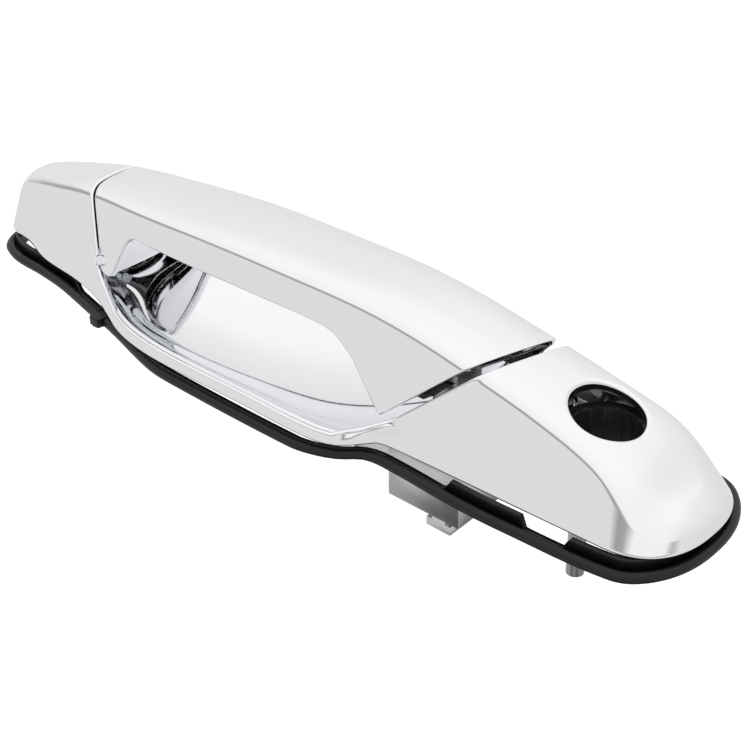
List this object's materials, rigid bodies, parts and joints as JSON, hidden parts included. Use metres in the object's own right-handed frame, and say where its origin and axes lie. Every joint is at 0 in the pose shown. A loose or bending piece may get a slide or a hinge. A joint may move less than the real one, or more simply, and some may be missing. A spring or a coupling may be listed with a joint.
{
  "type": "car door handle",
  "caption": "Chrome strap-type exterior car door handle with finger cup, empty key bore, rubber gasket, cast frame and latch crank.",
  "frame": {"origin": "middle of the bezel's length, on the door skin that the gasket's underside rests on", "axes": "+X along the handle towards the lock bore, +Y across the handle towards the crank pin, +Z away from the door"},
  "size_m": [0.2809, 0.0782, 0.0748],
  "materials": {
    "chrome_plate": "mirror-bright decorative chrome over moulded plastic",
    "satin_zinc": "satin as-cast zinc alloy",
    "zinc_steel": "bright zinc-plated steel",
    "dark_steel": "black-oxide spring steel",
    "black_rubber": "moulded EPDM, satin",
    "black_plastic": "moulded glass-filled nylon",
    "natural_acetal": "moulded natural acetal"
  },
  "bodies": {
    "frame_body": {"bezel": "chrome_plate", "finger_cup": "chrome_plate", "hinge_pin": "zinc_steel", "hinge_pin_clips": "dark_steel", "frame": "satin_zinc", "gasket": "black_rubber", "bell_crank_pin": "zinc_steel", "bell_crank_pin_clip": "dark_steel", "return_spring": "dark_steel", "lock_housing": "black_plastic", "lock_housing_screws": "zinc_steel", "lock_set_screw": "dark_steel", "mounting_studs": "zinc_steel", "bezel_screws": "dark_steel", "hinge_bump_stop": "black_rubber"},
    "grip_body": {"grip_shell": "chrome_plate", "grip_base": "chrome_plate", "hinge_arm": "satin_zinc", "pull_arm": "satin_zinc", "grip_screws": "zinc_steel", "grip_bump_stop": "black_rubber"},
    "crank_body": {"bell_crank": "satin_zinc", "counterweight": "dark_steel", "counterweight_rivet": "zinc_steel"},
    "clip_body": {"latch_rod_clip": "natural_acetal"}
  },
  "joints": [
    {"name": "grip_pull", "type": "hinge", "parent": "frame_body", "child": "grip_body", "pos_m": [-0.126, 0, 0.014], "axis": [0, -1, 0], "range_deg": [0, 6], "stiffness_Nm_per_rad": 0.4},
    {"name": "crank_turn", "type": "hinge", "parent": "frame_body", "child": "crank_body", "pos_m": [0.057, 0.022, -0.011], "axis": [-1, 0, 0], "range_deg": [0, 60], "stiffness_Nm_per_rad": 0.05, "springref_deg": -20.05, "deforming": ["return_spring"]},
    {"name": "rod_clip_swivel", "type": "hinge", "parent": "crank_body", "child": "clip_body", "pos_m": [0.057, 0.02478, -0.02676], "axis": [1, 0, 0], "range_deg": [-60, 60]}
  ],
  "couplings": [
    {"joint": "crank_turn", "follows": "grip_pull", "ratio": 10}
  ]
}
